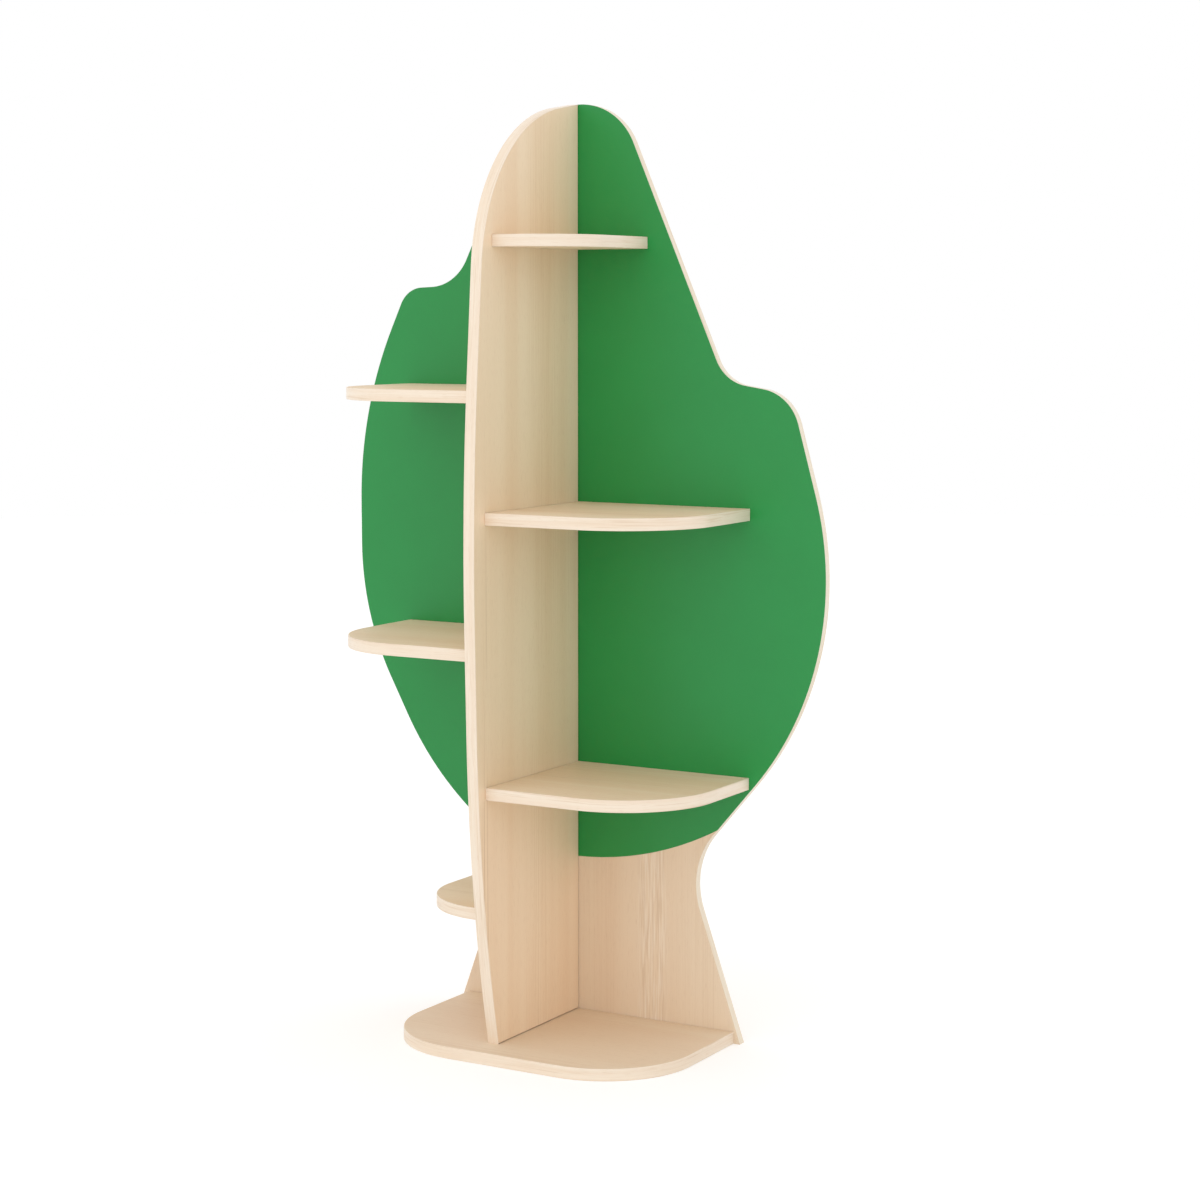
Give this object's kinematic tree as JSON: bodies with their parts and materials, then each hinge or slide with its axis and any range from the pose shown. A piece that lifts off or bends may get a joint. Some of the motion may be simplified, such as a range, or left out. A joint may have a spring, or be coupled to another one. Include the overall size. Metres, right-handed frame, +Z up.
{
  "type": "tree-shaped bookshelf",
  "caption": "Free-standing bookshelf: a tree-shaped back panel with a green crown, an upright fin, a base plate and staggered rounded shelves on both sides.",
  "frame": {"origin": "middle of the outer box in plan, on the floor", "axes": "+Z up, -Y towards the viewer in front of the shelves, +X to the viewer's right"},
  "size_m": [0.73, 0.2764, 1.25],
  "materials": {
    "wood_board": "light wood-decor faced board, satin",
    "green_laminate": "green laminate, fine matt grain",
    "wood_laminate": "light wood-decor laminate, satin",
    "edge_band": "light wood-decor edge band, satin",
    "screw_steel": "zinc-plated steel",
    "cap_plastic": "light wood-coloured plastic",
    "dowel_beech": "raw beech"
  },
  "bodies": {
    "root": {"back_panel": "wood_board", "crown_facing": "green_laminate", "trunk_facing": "wood_laminate", "back_panel_edge_band": "edge_band", "upright_fin": "wood_board", "upright_fin_edge_band": "edge_band", "base_plate": "wood_board", "base_plate_edge_band": "edge_band", "shelf_right_low": "wood_board", "shelf_right_low_edge_band": "edge_band", "shelf_right_middle": "wood_board", "shelf_right_middle_edge_band": "edge_band", "shelf_right_top": "wood_board", "shelf_right_top_edge_band": "edge_band", "shelf_left_low": "wood_board", "shelf_left_low_edge_band": "edge_band", "shelf_left_middle": "wood_board", "shelf_left_middle_edge_band": "edge_band", "shelf_left_top": "wood_board", "shelf_left_top_edge_band": "edge_band", "panel_to_fin_screws": "screw_steel", "panel_to_shelf_screws": "screw_steel", "panel_to_base_screws": "screw_steel", "base_to_fin_screws": "screw_steel", "screw_cover_caps": "cap_plastic", "shelf_dowels": "dowel_beech"}
  },
  "joints": []
}
